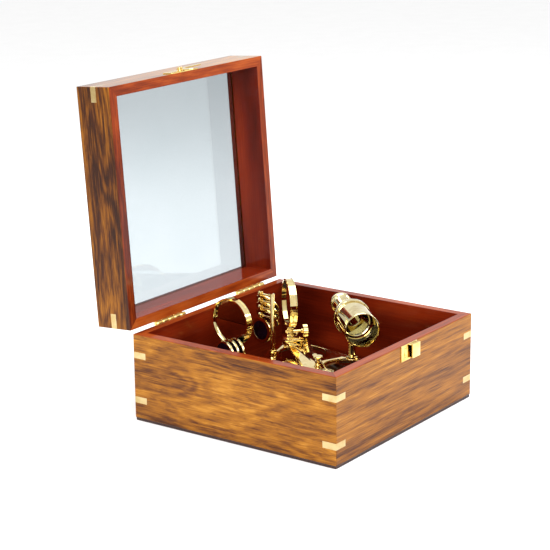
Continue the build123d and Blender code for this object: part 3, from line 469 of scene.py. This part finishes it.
def slotScrew(radius, height, place, turn=0.3):
    # Cheese-head screw with a real slot cut across it
    shape = turned([(0, height), (radius - 0.25, height), (radius, height - 0.25), (radius, -0.2), (0, -0.2)],
                   Matrix.Identity(4), steps=28)
    for side in (-1, 1):
        bmesh.ops.bisect_plane(shape, geom=shape.verts[:] + shape.edges[:] + shape.faces[:], dist=1e-7,
                               plane_co=(0, side * radius * 0.16 * mm, 0), plane_no=(0, 1, 0))
    floor = [face for face in shape.faces if abs(face.calc_center_median().y) < radius * 0.16 * mm
             and face.normal.z > 0.9]
    moved = bmesh.ops.extrude_face_region(shape, geom=floor)
    bmesh.ops.delete(shape, geom=floor, context="FACES_ONLY")
    bmesh.ops.translate(shape, vec=(0, 0, -0.45 * height * mm),
                        verts=[item for item in moved["geom"] if isinstance(item, bmesh.types.BMVert)])
    bmesh.ops.transform(shape, matrix=place @ Matrix.Rotation(turn, 4, "Z"), verts=shape.verts)
    return shape


def joined(shapes):
    whole = shapes[0]
    for shape in shapes[1:]:
        mesh = bpy.data.meshes.new("part")
        shape.to_mesh(mesh)
        shape.free()
        whole.from_mesh(mesh)
        bpy.data.meshes.remove(mesh)
    return whole


def makePiece(name, shape, body, material, replaced=(), sharp=35):
    for edge in shape.edges:
        edge.smooth = len(edge.link_faces) != 2 or edge.calc_face_angle(0) < radians(sharp)
    for face in shape.faces:
        face.smooth = True
    mesh = bpy.data.meshes.new(name)
    shape.to_mesh(mesh)
    shape.free()
    mesh.materials.append(material)
    piece = bpy.data.objects.new(name, mesh)
    bpy.context.scene.collection.objects.link(piece)
    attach(piece, body)
    if replaced:
        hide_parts(*replaced)
    return piece


def softened(node, body, material, width=0.25):
    # The node's own shape with its sharp edges broken, as a filed casting has them
    shape = bmesh.new()
    shape.from_mesh(nodes[node].data)
    bmesh.ops.remove_doubles(shape, verts=shape.verts, dist=0.002 * mm)
    bmesh.ops.dissolve_limit(shape, angle_limit=radians(0.8), verts=shape.verts, edges=shape.edges)
    easeEdges(shape, width, 40)
    return makePiece(node + "Filed", shape, body, material, (node,))


# heights on the telescope run along it from its post, mm
telescope = {
    "radius": 19.0, "bore": 17.6, "front": 50.0, "back": -14.5, "drawHole": 9.25,
    "grooves": (-6.6, -3.4), "floorThick": 5.0,
}
tubeOrigin = Vector(joints["telescope_swing"]["pos_m"])
tubeOrigin.z = Vector(joints["draw_tube_focus"]["pos_m"]).z
tubePlace = alignedTo(tubeOrigin, alongTube)


def buildTelescope():
    radius, bore, front, back = (telescope[key] for key in ("radius", "bore", "front", "back"))
    floor = back + telescope["floorThick"]
    outline = [(telescope["drawHole"], back), (12.6, back), (13.4, back + 0.5), (13.8, back + 1.6),
               (15.6, back + 2.2), (17.6, back + 3.4), (18.7, back + 5.0), (radius, back + 6.6)]
    for groove in telescope["grooves"]:
        outline += [(radius, groove - 0.7), (radius - 0.7, groove - 0.4), (radius - 0.7, groove + 0.4),
                    (radius, groove + 0.7)]
    outline += [(radius, front - 2.6), (radius - 0.35, front - 2.3), (radius - 0.35, front - 1.9),
                (radius, front - 1.6), (radius, front - 0.5), (radius - 0.4, front), (bore + 0.3, front),
                (bore, front - 0.5), (bore, floor), (telescope["drawHole"], floor)]
    shape = turned(outline + outline[:1], tubePlace, 96)
    makePiece("telescopeBarrel", shape, "telescope", tubeBrass, ("telescope_tube",))


drawTube = {"radius": 9.2, "bore": 8.0, "cup": 11.8, "eyeHole": 5.0, "back": -61.5, "inside": -0.5}


def buildDrawTube():
    cup, back = drawTube["cup"], drawTube["back"]
    outline = [(drawTube["eyeHole"], back + 1.0), (drawTube["eyeHole"] + 1.4, back + 0.5), (cup - 1.6, back),
               (cup - 0.5, back + 0.4), (cup, back + 1.3), (cup, back + 4.2), (cup - 0.6, back + 5.2),
               (cup - 1.7, back + 6.0), (9.7, back + 7.4), (drawTube["radius"], back + 9.5),
               (drawTube["radius"], drawTube["inside"]), (drawTube["bore"], drawTube["inside"]),
               (drawTube["bore"], back + 1.6), (drawTube["eyeHole"], back + 1.6)]
    makePiece("eyepieceDrawTube", turned(outline + outline[:1], tubePlace), "draw_tube",
              tubeBrass, ("draw_tube",))


objective = {"cellBack": 12.0, "cellFront": 20.0, "cellRadius": 17.6, "lensRadius": 14.5}
lensRings = 6               # steps in a lens's curve
lenses = {
    "objectiveLensGround": {"node": "objective_lens", "body": "telescope", "radius": 14.5, "middle": 16.0,
                            "edge": 1.2, "bulge": 0.8},
    "eyeLensGround": {"node": "eye_lens", "body": "draw_tube", "radius": 8.0, "middle": -54.0,
                      "edge": 0.7, "bulge": 0.8},
}


def lensFace(radius, edge, bulge):
    # one face from the middle outwards, heights above the lens's own middle plane
    return [(radius * step / lensRings, edge + bulge * (1 - (step / lensRings) ** 2))
            for step in range(lensRings + 1)]


def buildObjective():
    # Cell with a stepped inner edge, then a biconvex lens at each end of the telescope
    back, front = objective["cellBack"], objective["cellFront"]
    outer, lens = objective["cellRadius"], objective["lensRadius"]
    cell = [(outer, back), (outer, front), (lens + 1.1, front), (lens + 0.8, front - 0.8),
            (lens + 0.1, front - 1.2), (lens, back)]
    makePiece("objectiveCellRing", turned(cell + cell[:1], tubePlace, 80), "telescope",
              tubeBrass, ("objective_cell",))
    for name, item in lenses.items():
        face = lensFace(item["radius"], item["edge"], item["bulge"])
        outline = [(r, item["middle"] + h) for r, h in face]
        outline += [(r, item["middle"] - h) for r, h in reversed(face)]
        makePiece(name, turned(outline, tubePlace, 48), item["body"], lensGlass,
                  (item["node"],))


ringFrames = {
    "index": {"node": "index_mirror_frame", "body": "index_arm", "spot": (0, -6.0), "turn": 90,
              "radius": 26.0, "bottom": 3.3},
    "horizon": {"node": "horizon_mirror_frame", "body": "sextant", "spot": (57.8, -80.4), "turn": -52,
                "radius": 24.5, "bottom": 0.0},
}
ringSizes = {"height": 45.0, "wall": 1.8, "half": 4.0, "lip": 0.5, "screwAngles": (35, 145)}
# width across, depth, height and underside of each block under the index ring
indexFoot = ((14.0, 8.0, 2.8, 2.2), (10.0, 8.0, 3.6, 4.8))
indexBase = {"size": (26.0, 22.0, 2.4), "screwReach": 9.5, "screwRow": 3.6}


def ringOutline(radius):
    # Band section: a flat barrel between two raised lips, with a rebate for the glass inside
    wall, half, lip = ringSizes["wall"], ringSizes["half"], ringSizes["lip"]
    outer = radius + wall
    return [(radius, -half), (outer, -half), (outer, -half + 0.9), (outer - lip, -half + 1.2),
            (outer - lip, half - 1.2), (outer, half - 0.9), (outer, half), (radius, half),
            (radius - 0.7, 1.9), (radius - 0.7, 1.55), (radius, 1.5), (radius, -half)]


def buildRingFrame(key):
    item = ringFrames[key]
    u, v = item["spot"]
    turn = radians(item["turn"])
    facing = sextantPlace.to_3x3() @ Vector((cos(turn), sin(turn), 0))
    sideways = Vector((0, 0, 1)).cross(facing)
    centre = onSextant(u * mm, v * mm, ringSizes["height"] * mm)
    shapes = [turned(ringOutline(item["radius"]), alignedTo(centre, facing), 96)]
    foot = ringSizes["height"] - item["radius"] - ringSizes["wall"]
    bottom = item["bottom"]
    upright = Matrix((sideways, -facing, Vector((0, 0, 1)))).transposed().to_4x4()

    def standing(height):
        return Matrix.Translation(onSextant(u * mm, v * mm, height * mm)) @ upright

    if key == "index":
        base = Matrix.Translation(onSextant(0, v / 2 * mm, bottom * mm)) @ sextantPlace.to_3x3().to_4x4()
        shapes.append(block(indexBase["size"], base, 0.6))
        for (width, depth, height, rise), ease in zip(indexFoot, (0.5, 0.4)):
            shapes.append(block((width, depth, height), standing(bottom + rise), ease))
        shapes.append(block((7.0, 7.2, foot - bottom - 6.5), standing(bottom + 7.5), 0.3))
        shapes.append(block((11.0, 7.8, 2.2), standing(foot - 1.6), 0.4))
        for side in (-1, 1):
            shapes.append(slotScrew(1.7, 1.0, Matrix.Translation(
                onSextant(side * indexBase["screwReach"] * mm, indexBase["screwRow"] * mm,
                          (bottom + indexBase["size"][2]) * mm)), 0.5 * side))
    else:
        shapes.append(turned([(0, 3.0), (7.6, 3.0), (8.0, 2.6), (8.0, 0)], standing(bottom), 48))
        shapes.append(block((9.0, 8.0, foot - 2.0), standing(2.6), 0.4))
        shapes.append(block((12.0, 7.6, 2.2), standing(foot - 1.6), 0.4))
    # adjusting screws let into the band
    for angle in ringSizes["screwAngles"]:
        outward = sideways * cos(radians(angle)) + Vector((0, 0, 1)) * sin(radians(angle))
        spot = centre + outward * (item["radius"] - 0.2) * mm
        shapes.append(slotScrew(1.3, 0.8, alignedTo(spot + facing * 1.6 * mm, facing), 0.9))
    makePiece(key + "MirrorRing", joined(shapes), item["body"], polished, (item["node"],))


def standingIn(node):
    # Upright place at the foot of a node's box, and the box's height in mm
    low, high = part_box(node)
    middle = (low + high) / 2
    return Matrix.Translation((middle.x, middle.y, low.z)), (high.z - low.z) / mm


adjuster = {"height": 11.5, "knobRadius": 7.0, "knobThick": 5.0, "reach": 20.0, "teeth": 26}
clampKnob = {"radius": 6.0, "thick": 6.0, "teeth": 30}


def buildKnobs():
    start = onSextant(0, ringFrames["index"]["spot"][1] * mm, adjuster["height"] * mm)
    rodLength = adjuster["reach"] - adjuster["knobThick"]
    rod = turned([(0, -5.0), (1.6, -5.0), (1.6, rodLength - 2.5), (2.6, rodLength - 1.8), (2.6, rodLength),
                  (0, rodLength)], alignedTo(start, acrossTube), 32)
    knob = knurled(adjuster["knobRadius"], adjuster["knobThick"],
                   alignedTo(start + acrossTube * rodLength * mm, acrossTube), adjuster["teeth"])
    makePiece("mirrorAdjusterKnob", joined([rod, knob]), "mirror_adjuster", polished,
              ("mirror_adjuster",))
    place, rise = standingIn("clamp_screw")
    top = clampKnob["thick"]
    stem = turned([(0, rise), (2.0, rise), (2.0, top + 2.5), (3.0, top + 1.4), (3.0, top), (0, top)],
                  place, 32)
    knob = knurled(clampKnob["radius"], clampKnob["thick"], place, clampKnob["teeth"])
    makePiece("clampThumbScrew", joined([stem, knob]), "clamp_screw", polished,
              ("clamp_screw",))


readerLens = {"radius": 8.0, "edge": 0.35, "bulge": 0.45}


def buildReader():
    # Waisted spool with a flat head, outline from its foot up
    place, rise = standingIn("reader_post")
    spool = [(4.4, 0), (4.4, 1.2), (3.8, 1.6), (1.9, 1.6), (1.9, 7.2), (2.2, 8.6), (3.4, 9.9), (4.9, 10.4),
             (5.2, 10.9), (5.2, rise - 0.5), (4.7, rise), (0, rise)]
    makePiece("readerSpool", turned([(0, 0)] + spool, place, 48), "index_arm", polished,
              ("reader_post",))
    low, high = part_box("reader_lens")
    centre = (low + high) / 2
    face = lensFace(readerLens["radius"], readerLens["edge"], readerLens["bulge"])
    outline = face + [(r, -h) for r, h in reversed(face)]
    makePiece("readerLensGround", turned(outline, Matrix.Translation(centre), 40), "reader",
              lensGlass, ("reader_lens",))


feet = {"apex": (8.0, 12.0), "limbRadius": 154.0, "limbAngle": 33.0}
grip = {"start": (38.0, 32.0), "end": (124.0, 64.0), "drop": 22.0, "overhang": 6.0, "endRadius": 8.4,
        "swell": 2.0}


def buildTurnedParts():
    # Feet with waisted stems, and the wooden grip with a bead at each end
    low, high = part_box("frame_feet")
    length = (high.z - low.z) / mm
    foot = [(0, 0), (4.6, 0), (5.2, 0.6), (5.2, 2.4), (4.6, 3.0), (3.6, 3.6), (3.1, length * 0.5),
            (3.6, length - 3.8), (4.6, length - 3.0), (5.2, length - 2.2), (5.2, length)]
    along = feet["limbRadius"] * cos(radians(feet["limbAngle"]))
    aside = feet["limbRadius"] * sin(radians(feet["limbAngle"]))
    drop = low.z - plateTop
    shapes = [turned(foot, Matrix.Translation(onSextant(u * mm, v * mm, drop)), 40)
              for u, v in (feet["apex"], (along, aside), (along, -aside))]
    makePiece("turnedFeet", joined(shapes), "sextant", polished, ("frame_feet",))
    start, end = (onSextant(u * mm, v * mm, -grip["drop"] * mm) for u, v in (grip["start"], grip["end"]))
    run = (end - start).length / mm
    first, last = -grip["overhang"], run + grip["overhang"]
    radius, swell = grip["endRadius"], grip["swell"]
    bead = [(5.6, 0), (7.6, 0.8), (8.3, 2.6), (7.6, 4.4), (radius, 6.4)]
    outline = [(0, first)] + [(r, first + h) for r, h in bead]
    outline += [(radius + swell * sin(pi * step / 8), first + 6.4 + (run - 0.8) * step / 8)
                for step in range(1, 8)]
    outline += [(r, last - h) for r, h in reversed(bead)] + [(0, last)]
    makePiece("turnedGrip", turned(outline, alignedTo(start, end - start), 56), "sextant",
              gripWood, ("handle_grip",))


# body, slot, metal and width of the broken edges in mm
filedNodes = {
    "sextant_frame": ("sextant", "polished_brass", polished, 0.4),
    "index_arm": ("index_arm", "polished_brass", polished, 0.4),
    "catch_keeper": ("root", "fitting_brass", fitting, 0.25),
    "latch_plate": ("lid", "fitting_brass", fitting, 0.2),
    "latch_hook": ("latch", "fitting_brass", fitting, 0.3),
    "case_hinge_leaves": ("root", "fitting_brass", fitting, 0.15),
    "lid_hinge_leaves": ("lid", "fitting_brass", fitting, 0.15),
    "telescope_holder": ("telescope", "telescope_brass", tubeBrass, 0.3),
    "frame_spindles": ("sextant", "polished_brass", polished, 0.2),
    "shade_posts": ("sextant", "polished_brass", polished, 0.25),
    "reader_arm": ("reader", "polished_brass", polished, 0.2),
    "handle_posts": ("sextant", "polished_brass", polished, 0.2),
}
for node in nodes:
    if "shade" in node and node.endswith("_frame"):
        filedNodes[node] = (node.removesuffix("_frame"), "polished_brass", polished, 0.3)

buildTelescope()
buildDrawTube()
buildObjective()
for key in ringFrames:
    buildRingFrame(key)
buildKnobs()
buildReader()
buildTurnedParts()
for node, (body, slot, material, width) in filedNodes.items():
    softened(node, body, material, width)
print("brass pieces made")


# Stage, light and camera

def buildStage(size, lift):
    shape = bmesh.new()
    bmesh.ops.create_grid(shape, x_segments=8, y_segments=8, size=size)
    bmesh.ops.translate(shape, verts=shape.verts, vec=(0, 0, cadLow.z - lift))
    mesh = bpy.data.meshes.new("studioFloor")
    shape.to_mesh(mesh)
    shape.free()
    floor = bpy.data.objects.new("studioFloor", mesh)
    mesh.materials.append(whitePaper("backdropPaper", "#FAFAFA"))
    bpy.context.scene.collection.objects.link(floor)


lightSettings = {
    "overhead": {"at": (-0.1, -0.2, 1.5), "aim": (0, 0, 0.1), "size": 1.4, "power": 16},
    "leftFront": {"at": (-1.5, -0.4, 0.9), "aim": (0, 0, 0.1), "size": 0.9, "power": 14},
    "rightFront": {"at": (0.9, -1.5, 0.9), "aim": (0, 0, 0.1), "size": 0.8, "power": 13},
    "backKick": {"at": (0.5, 1.3, 1.0), "aim": (0, 0, 0.1), "size": 0.9, "power": 6},
}


def buildLights():
    for name, item in lightSettings.items():
        lamp = bpy.data.lights.new(name, "AREA")
        lamp.shape = "DISK"
        lamp.size = item["size"]
        lamp.energy = item["power"]
        holder = bpy.data.objects.new(name, lamp)
        holder.location = item["at"]
        aim = Vector(item["aim"]) - Vector(item["at"])
        holder.rotation_euler = aim.to_track_quat("-Z", "Y").to_euler()
        bpy.context.scene.collection.objects.link(holder)
    world = bpy.data.worlds.new("whiteRoom")
    world.use_nodes = True
    world.node_tree.nodes["Background"].inputs["Color"].default_value = (1, 1, 1, 1)
    world.node_tree.nodes["Background"].inputs["Strength"].default_value = roomLight
    bpy.context.scene.world = world
    bpy.context.scene.view_settings.view_transform = "Standard"


cameraSettings = {
    "at": (-1.490, -1.045, 0.646), "azimuth": -53.96, "elevation": 15.22, "roll": -0.676, "lens": 115.3,
}
roomLight = 0.95


def buildCamera():
    lens = bpy.data.cameras.new("studioCamera")
    lens.lens = cameraSettings["lens"]
    lens.sensor_width = 36.0
    camera = bpy.data.objects.new("studioCamera", lens)
    azimuth, elevation = radians(cameraSettings["azimuth"]), radians(cameraSettings["elevation"])
    back = Vector((sin(azimuth) * cos(elevation), -cos(azimuth) * cos(elevation), sin(elevation)))
    right = Vector((cos(azimuth), sin(azimuth), 0))
    up = back.cross(right)
    turn = Matrix((right, up, back)).transposed() @ Matrix.Rotation(radians(cameraSettings["roll"]), 3, "Z")
    camera.matrix_world = Matrix.Translation(cameraSettings["at"]) @ turn.to_4x4()
    bpy.context.scene.collection.objects.link(camera)
    bpy.context.scene.camera = camera


buildStage(6.0, 0.0002)
buildLights()
buildCamera()
print("stage, lights and camera ready")
